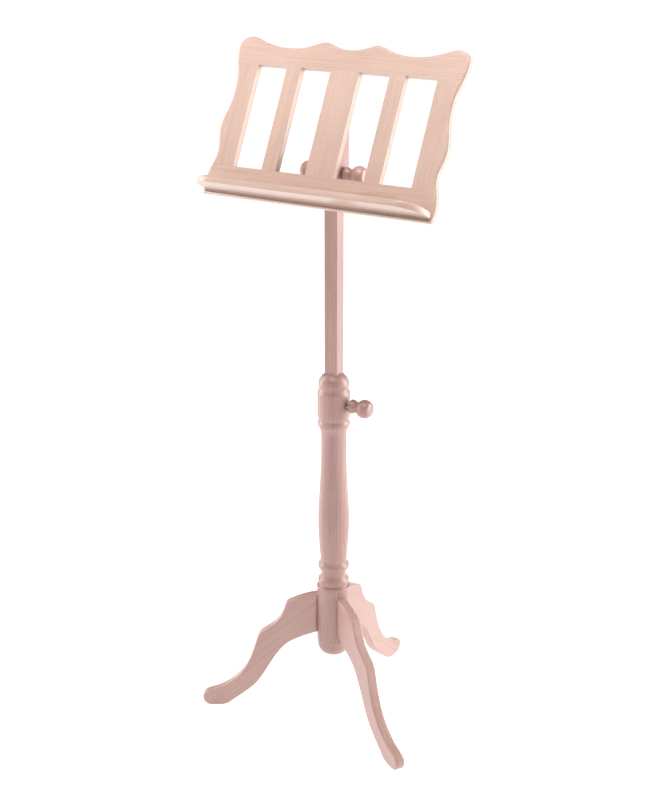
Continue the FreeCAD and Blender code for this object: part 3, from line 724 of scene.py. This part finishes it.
def make_column():
    """The turned column, with its clamp bores and its dowel holes."""
    piece = skin("column_turning", column_rings())
    start = low("clamp_insert")[0]
    inside = SOCKET_WIDTH / 2.0 - 2.0 * BORE_OVERRUN
    bore(piece, PAD_BORE_RADIUS, inside, start + BORE_OVERRUN, along_x(CLAMP_LEVEL))
    bore(piece, high("clamp_insert")[1], start, POST_RADIUS, along_x(CLAMP_LEVEL))
    subtract(piece, frame["nodes"]["leg_dowels"])
    paint(piece, beech("beech_column", "Z", 1.0, pith=(0.043, 0.021)))
    return fit(piece, "base", "beech", "column")


def leg_rings():
    """Rings of a leg lying along X, cut at the post's surface and at the floor."""
    chain = smooth_chain(LEG_STATIONS)
    tangents = np.gradient(chain, axis=0)
    tangents /= np.linalg.norm(tangents, axis=1)[:, None]
    inward = np.stack([tangents[:, 1], -tangents[:, 0]], 1)
    half = LEG_THICKNESS / 2.0
    insets = [(LEG_ROUND + SUPPORT, half)]
    for step in range(ROUND_STEPS + 1):
        turn = math.pi / 2.0 * step / ROUND_STEPS
        insets.append((LEG_ROUND * (1.0 - math.sin(turn)), half - LEG_ROUND * (1.0 - math.cos(turn))))
    side = insets + [(0.0, across) for across in (4.0, 0.0, -4.0)]
    side += [(inset, -across) for inset, across in insets[::-1]]
    keep = chain[:, 0] > POST_RADIUS + LEG_MARGIN
    first = int(np.argmax(keep))
    last = len(chain) - int(np.argmax(keep[::-1])) - 1
    rings = []
    for inset, across in side:
        points = chain + inward * inset
        reach = math.sqrt(POST_RADIUS ** 2 - across ** 2)
        upper = np.interp(reach, points[:first + 1, 0], points[:first + 1, 1])
        lower = np.interp(reach, points[last:, 0][::-1], points[last:, 1][::-1])
        ring = np.concatenate([[(reach, upper)], points[first:last + 1], [(reach, lower)]])
        ring[:, 1] = np.maximum(ring[:, 1], 0.0)
        rings.append([(out, across, up) for out, up in ring])
    return rings


def make_leg(name, angle, seed):
    """One leg, turned about the column to its angle."""
    piece = skin(f"{name}_board", leg_rings(), caps=True)
    piece.matrix_world = Matrix.Rotation(math.radians(angle), 4, "Z")
    subtract(piece, frame["nodes"]["leg_dowels"])
    grain = (0.0, math.radians(-90.0 - LEG_GRAIN), 0.0)
    paint(piece, beech(f"beech_{name}", grain, seed, (0.012, 0.11), LEG_TINTS))
    return fit(piece, "base", "beech", name)


# ---------------------------------------------------------------- mast, knobs and metal


def make_mast():
    """The square mast, with eased corners, bored for the tilt rod."""
    half = MAST_WIDTH / 2.0
    corner = half - MAST_CHAMFER
    corners = [(half, -corner), (half, corner), (corner, half), (-corner, half),
               (-half, corner), (-half, -corner), (-corner, -half), (corner, -half)]
    bottom, top = low("mast")[2], high("mast")[2]
    ease = MAST_END_EASE
    rings = []
    for level, inset in ((bottom, ease), (bottom + ease, 0.0), (top - ease, 0.0), (top, ease)):
        share = (half - inset) / half
        rings.append([(x * share, y * share, level) for x, y in corners])
    piece = skin("mast_bar", rings, caps=True)
    reach = half + BORE_OVERRUN
    bore(piece, ROD_RADIUS, -reach, reach, along_x(PIVOT_LEVEL))
    paint(piece, beech("beech_mast", "Z", 2.0, pith=(0.09, 0.05)))
    return fit(piece, "mast", "beech", "mast")


def knob_profile(bores):
    """A knob's closed profile. bores lists each bore's radius and depth from the base in."""
    end = KNOB_STEPS[-1][-1][1]
    outside = trace((bores[0][0], 0.0), KNOB_STEPS + [[(0.0, end)]])
    inside = [(0.0, bores[-1][1])]
    for number in reversed(range(len(bores))):
        radius, depth = bores[number]
        inside += [(radius, depth), (radius, bores[number - 1][1] if number else 0.0)]
    return np.concatenate([outside, inside[:-1]])


def make_knob(node, body, bores, place, seed):
    """A turned knob on its base along a placement's Z."""
    piece = lathe(f"{node}_turning", knob_profile(bores), KNOB_TURNS, closed=True)
    piece.matrix_world = place
    paint(piece, beech(f"beech_{node}", "Z", seed, pith=(0.03, 0.012)))
    return fit(piece, body, "beech", node)


def placed_along_x(distance, level, sign):
    """A placement along X that starts at a distance from the column's axis."""
    return along_x(level, sign) @ Matrix.Translation((0.0, 0.0, distance * MM))


def make_threaded_rod(name, node, body, level):
    """A threaded rod along X, with its thread as a helical groove."""
    start = low(node)[0]
    end = high(node)[0]
    radius = high(node)[1]
    rings = []
    count = int((end - start) / THREAD_PITCH * RINGS_PER_PITCH)
    angles = np.arange(ROD_TURNS) * (2.0 * math.pi / ROD_TURNS)
    for level_along in np.linspace(start, end, count):
        phase = (level_along / THREAD_PITCH - angles / (2.0 * math.pi)) % 1.0
        groove = np.abs(phase - 0.5) * 2.0
        radii = radius - THREAD_DEPTH * np.clip((groove - 0.1) / 0.8, 0.0, 1.0)
        end_taper = min(1.0, (min(level_along - start, end - level_along) + 0.4) / 1.2)
        radii = np.minimum(radii, radius - THREAD_DEPTH * (1.0 - end_taper))
        rings.append(list(zip(radii * np.cos(angles), radii * np.sin(angles),
                              np.full(ROD_TURNS, level_along))))
    piece = skin(name, rings, caps=True)
    piece.matrix_world = along_x(level)
    paint(piece, STEEL)
    return fit(piece, body, "steel", node)


def make_washer(side, sign):
    """A flat steel washer with eased edges."""
    node = f"tilt_washer_{side}"
    inner = ROD_RADIUS + FIT
    outer = high(node)[1]
    thick = high(node)[0] - low(node)[0]
    ease = WASHER_EASE
    profile = [(inner, ease), (inner + ease, 0.0), (outer - ease, 0.0), (outer, ease),
               (outer, thick - ease), (outer - ease, thick), (inner + ease, thick),
               (inner, thick - ease)]
    piece = lathe(f"{node}_ring", profile, ROD_TURNS, closed=True)
    start = low(node)[0] if sign > 0.0 else -high(node)[0]
    piece.matrix_world = placed_along_x(start, PIVOT_LEVEL, sign)
    paint(piece, STEEL)
    return fit(piece, f"washer_{side}", "steel", node)


def make_clamp():
    """The height clamp's knob and screw."""
    place = placed_along_x(low("clamp_knob")[0], CLAMP_LEVEL, 1.0)
    make_knob("clamp_knob", "clamp_knob", [(ROD_RADIUS, CLAMP_BORE_DEPTH)], place, 31.0)
    make_threaded_rod("clamp_screw_thread", "clamp_screw", "clamp_knob", CLAMP_LEVEL)


def make_tilt_knob(side, sign):
    """A knob at one end of the tilt rod, bored for its insert and the rod."""
    insert = f"tilt_insert_{side}"
    node = f"tilt_knob_{side}"
    bores = [(high(insert)[1], high(insert)[0] - low(insert)[0]), TILT_BORE]
    base = low(node)[0] if sign > 0.0 else -high(node)[0]
    make_knob(node, f"knob_{side}", bores, placed_along_x(base, PIVOT_LEVEL, sign), 33.0 + sign)


def paint_carried_nodes():
    """Materials of the CAD shapes that stay as they are."""
    for node in ("clamp_insert", "tilt_insert_right", "tilt_insert_left"):
        paint(frame["nodes"][node], BRASS)
    paint(frame["nodes"]["clamp_pad"], STEEL)
    dowel_beech = beech("beech_dowels", "Z", 40.0)
    for node in ("leg_dowels", "frame_dowels", "cheek_dowels"):
        paint(frame["nodes"][node], dowel_beech)


# ---------------------------------------------------------------- desk


def desk_curve():
    """Points up the desk's right side, over the top and down its left side."""
    half = DESK_SIDE + DESK_HORN + DESK_TOP
    mirrored = [(-across, up) for across, up in half[-2::-1]]
    return np.concatenate([[half[0]], along_spline(half + mirrored)])


def crossings(curve, level):
    """Where the curve first and last crosses a height, as the index of the next point and
    the point itself."""
    above = curve[:, 1] > level
    found = []
    for spot in np.nonzero(above[1:] != above[:-1])[0]:
        share = (level - curve[spot, 1]) / (curve[spot + 1, 1] - curve[spot, 1])
        found.append((spot + 1, curve[spot] + (curve[spot + 1] - curve[spot]) * share))
    return found[0], found[-1]


def opening_line(level, rightward):
    """Points along a rail's edge from one side to the other, with each edge's easing: none
    where a stile or slat meets the rail."""
    stops = sorted({low(node)[0] for node in SLATS} | {high(node)[0] for node in SLATS}
                   | {high("left_stile")[0], low("right_stile")[0]})
    points = []
    eases = []
    for number, stop in enumerate(stops if rightward else stops[::-1]):
        points.append((stop, level))
        eases.append(WINDOW_EASE if number % 2 == 0 else 0.0)
    return points, eases


def stile_rounds(side):
    """The rounding of a stile's edges: round outside, and eased along the opening."""
    return [BOARD_ROUND] * (len(side) - 1) + [0.0, WINDOW_EASE, 0.0]


def boards():
    """Each member's outline and the rounding of each of its edges."""
    curve = desk_curve()
    (low_right, low_right_point), (low_left, low_left_point) = crossings(curve, 0.0)
    (high_right, high_right_point), (high_left, high_left_point) = crossings(curve, WINDOW_HEIGHT)
    made = {}

    top = [high_right_point] + list(curve[high_right:high_left]) + [high_left_point]
    line, eases = opening_line(WINDOW_HEIGHT, True)
    made["top_rail"] = (top + line, [BOARD_ROUND] * (len(top) - 1) + [0.0] + eases)

    bottom = [low_left_point] + list(curve[low_left:]) + list(curve[:low_right]) + [low_right_point]
    line, eases = opening_line(0.0, False)
    made["bottom_rail"] = (bottom + line, [BOARD_ROUND] * (len(bottom) - 1) + [0.0] + eases)

    inner = low("right_stile")[0]
    right = [low_right_point] + list(curve[low_right:high_right]) + [high_right_point]
    straight = [(inner, WINDOW_HEIGHT), (inner, 0.0)]
    made["right_stile"] = (right + straight, stile_rounds(right))
    left = [high_left_point] + list(curve[high_left:low_left]) + [low_left_point]
    straight = [(-inner, 0.0), (-inner, WINDOW_HEIGHT)]
    made["left_stile"] = (left + straight, stile_rounds(left))

    for node in SLATS:
        start, end = low(node)[0], high(node)[0]
        corners = [(start, 0.0), (end, 0.0), (end, WINDOW_HEIGHT), (start, WINDOW_HEIGHT)]
        made[node] = (corners, [0.0, WINDOW_EASE, 0.0, WINDOW_EASE])
    return made


def fit_to_desk(piece, node, material, *tools):
    """Places a piece that was made in the desk's own frame, cuts it and finishes it."""
    piece.matrix_world = desk_matrix()
    subtract(piece, *[frame["nodes"][tool] for tool in tools])
    paint(piece, material)
    return fit(piece, "desk", "beech", node)


def make_members():
    """The rails, stiles and slats of the desk."""
    axes = [(1, 0, 0), (0, 0, 1), (0, 1, 0)]
    for number, (node, (outline, rounds)) in enumerate(boards().items()):
        outline = np.array([tuple(point) for point in outline], float)
        piece = plate(f"{node}_board", outline, rounds, rounds, BOARD_THICKNESS, axes)
        grain = "X" if "rail" in node else "Z"
        # The desk's members take the paler tints: painted light, for the stronger light on the desk's
        # face.
        material = beech(f"beech_{node}", grain, 3.0 + number, MEMBER_PITHS[node], LIT_BOARD_TINTS)
        tools = ["frame_dowels"]
        if node == "bottom_rail":
            tools.append("ledge_screws")
        if node == "centre_slat":
            tools.append("cheek_dowels")
        fit_to_desk(piece, node, material, *tools)


def ledge_outline():
    """The ledge seen from above, from its left rear corner, with 1 for each edge that is
    rounded and 0 for the one along the board."""
    half = high("ledge")[0]
    straight = half - LEDGE_CORNER_WIDTH
    shoulder = LEDGE_DEPTH - LEDGE_CORNER_DEPTH
    turns = np.linspace(0.0, math.pi / 2.0, LEDGE_CORNER_STEPS)
    across = straight + LEDGE_CORNER_WIDTH * np.sin(turns)
    out = -shoulder - LEDGE_CORNER_DEPTH * np.cos(turns)
    right = list(zip(across, out))
    left = [(-x, y) for x, y in right[::-1]]
    front = [tuple(point) for point in along_line(left[-1], right[0])[:-1]]
    points = [(-half, 0.0)] + left + front + right + [(half, 0.0)]
    shares = [1.0] * (len(points) - 1) + [0.0]
    return np.array(points), np.array(shares)


def make_ledge():
    """The ledge that the music rests on."""
    outline, shares = ledge_outline()
    axes = [(1, 0, 0), (0, 1, 0), (0, 0, 1)]
    piece = plate("ledge_board", outline, shares * LEDGE_LOW_ROUND, shares * LEDGE_TOP_ROUND,
                  LEDGE_THICKNESS, axes)
    piece.data.transform(Matrix.Translation((0.0, 0.0, LEDGE_UNDERSIDE * MM)))
    # The ledge takes the desk's paler tints: painted light, for the stronger light on the desk.
    material = beech("beech_ledge", "X", 11.0, (0.03, 0.08), LIT_BOARD_TINTS)
    fit_to_desk(piece, "ledge", material, "ledge_screws")


def cheek_outline():
    """A cheek from the side, as distance behind the desk's face and height up the desk."""
    back, rise, depth, radius = BOARD_THICKNESS, PIVOT_RISE, PIVOT_DEPTH, CHEEK_RADIUS
    tip = np.array([back, CHEEK_HIGH])
    pivot = np.array([depth, rise])
    reach = tip - pivot
    length = np.linalg.norm(reach)
    turn = math.atan2(reach[1], reach[0]) - math.acos(radius / length)
    tangent = pivot + radius * np.array([math.cos(turn), math.sin(turn)])
    toward = (tangent - tip) / np.linalg.norm(tangent - tip)
    blunt = tip + toward * CHEEK_BLUNT
    halfway = (turn - math.pi / 2.0) / 2.0
    middle = pivot + radius * np.array([math.cos(halfway), math.sin(halfway)])
    bottom = (depth, rise - radius)
    rounded = trace(bottom, [[tuple(middle), tuple(tangent)], [tuple(blunt)]])
    points = [(back, rise - radius)] + [tuple(point) for point in rounded] + [(back, blunt[1])]
    rounds = [CHEEK_EASE] * (len(points) - 1) + [0.0]
    return np.array(points), rounds


def make_cheeks():
    """The two brackets behind the centre slat."""
    outline, rounds = cheek_outline()
    axes = [(0, 1, 0), (0, 0, 1), (1, 0, 0)]
    for side in ("right", "left"):
        node = f"cheek_{side}"
        thickness = high(node)[0] - low(node)[0]
        piece = plate(f"{node}_board", outline, rounds, rounds, thickness, axes)
        piece.data.transform(Matrix.Translation((low(node)[0] * MM, 0.0, 0.0)))
        piece.matrix_world = desk_matrix()
        ends = (low(node)[0] - BORE_OVERRUN, high(node)[0] + BORE_OVERRUN)
        bore(piece, ROD_RADIUS + FIT, *ends, along_x(PIVOT_LEVEL))
        material = beech(f"beech_{node}", "Z", 12.0 if side == "right" else 13.0)
        fit_to_desk(piece, node, material, "cheek_dowels")


def make_ledge_screws():
    """Countersunk screws with a cross recess, in their holes through the bottom rail."""
    for number, across in enumerate(LEDGE_SCREWS_ACROSS):
        piece = lathe(f"ledge_screw_{number}", LEDGE_SCREW, ROD_TURNS)
        for first in RECESS_SLOTS:
            turn = math.radians(first + RECESS_TURN * number)
            blade = lathe("tool", RECESS_BLADE, 4)
            blade.data.transform(Matrix.Diagonal((RECESS_LONG, RECESS_WIDE, 1.0, 1.0)))
            blade.data.transform(Matrix.Rotation(turn, 4, "Z"))
            subtract(piece, blade)
            drop(blade)
        level = LEDGE_UNDERSIDE + LEDGE_THICKNESS / 2.0
        spot = Matrix.Translation((across * MM, BOARD_THICKNESS * MM, level * MM))
        piece.matrix_world = desk_matrix() @ spot @ Matrix.Rotation(math.radians(90.0), 4, "X")
        paint(piece, STEEL)
        fit(piece, "desk", "steel", "ledge_screws")


# ---------------------------------------------------------------- stage


def make_floor():
    """A wide pale floor."""
    bpy.ops.mesh.primitive_circle_add(vertices=96, radius=FLOOR_RADIUS, fill_type="NGON")
    floor = bpy.context.object
    floor.name = "floor"
    made = Nodes("floor_pale")
    made.shader.inputs["Base Color"].default_value = (FLOOR_GREY, FLOOR_GREY, FLOOR_GREY, 1.0)
    made.shader.inputs["Roughness"].default_value = 0.9
    made.shader.inputs["Emission Color"].default_value = WHITE
    made.shader.inputs["Emission Strength"].default_value = FLOOR_GLOW
    paint(floor, made.material)


def make_softbox(name, place, width, height, power):
    """A soft rectangular light aimed at the middle of the stand."""
    data = bpy.data.lights.new(name, "AREA")
    data.shape = "RECTANGLE"
    data.size = width
    data.size_y = height
    data.energy = power
    lamp = bpy.data.objects.new(name, data)
    lamp.location = place
    lamp.rotation_mode = "QUATERNION"
    lamp.rotation_quaternion = (Vector(LIT_POINT) - Vector(place)).to_track_quat("-Z", "Y")
    lamp.visible_camera = False
    bpy.context.scene.collection.objects.link(lamp)


def make_world():
    """A surround that is white at the horizon, where it meets the floor, and dim overhead."""
    world = bpy.data.worlds.new("surround")
    world.use_nodes = True
    tree = world.node_tree
    direction = tree.nodes.new("ShaderNodeTexCoord").outputs["Generated"]
    parts = tree.nodes.new("ShaderNodeSeparateXYZ")
    tree.links.new(direction, parts.inputs[0])
    fade = tree.nodes.new("ShaderNodeValToRGB")
    tree.links.new(parts.outputs["Z"], fade.inputs["Fac"])
    stops = fade.color_ramp.elements
    stops[0].position = HORIZON_RISE
    stops[0].color = WHITE
    stops[1].position = OVERHEAD_RISE
    stops[1].color = (OVERHEAD_GREY, OVERHEAD_GREY, OVERHEAD_GREY, 1.0)
    tree.links.new(fade.outputs["Color"], tree.nodes["Background"].inputs["Color"])
    bpy.context.scene.world = world


def make_camera():
    """The camera, in front, to the right of and above the stand."""
    data = bpy.data.cameras.new("camera")
    data.sensor_width = 36.0
    data.lens = CAMERA_LENS
    data.clip_end = 200.0
    camera = bpy.data.objects.new("camera", data)
    tip = Matrix.Rotation(math.radians(90.0) - CAMERA_DIP, 4, "X")
    turn = Matrix.Rotation(CAMERA_YAW, 4, "Z") @ tip @ Matrix.Rotation(CAMERA_ROLL, 4, "Z")
    camera.matrix_world = Matrix.Translation(CAMERA_PLACE) @ turn
    bpy.context.scene.collection.objects.link(camera)
    bpy.context.scene.camera = camera


# ---------------------------------------------------------------- whole scene

make_column()
for seed, (leg, angle) in enumerate(LEG_ANGLES.items(), start=20):
    make_leg(leg, angle, float(seed))
make_mast()
make_members()
make_ledge()
make_cheeks()
make_ledge_screws()

make_clamp()
make_threaded_rod("tilt_rod_thread", "tilt_rod", "mast", PIVOT_LEVEL)
for side, sign in (("right", 1.0), ("left", -1.0)):
    make_tilt_knob(side, sign)
    make_washer(side, sign)
paint_carried_nodes()

make_floor()
make_world()
for softbox in SOFTBOXES:
    make_softbox(*softbox)
make_camera()
bpy.context.scene.view_settings.view_transform = "Standard"
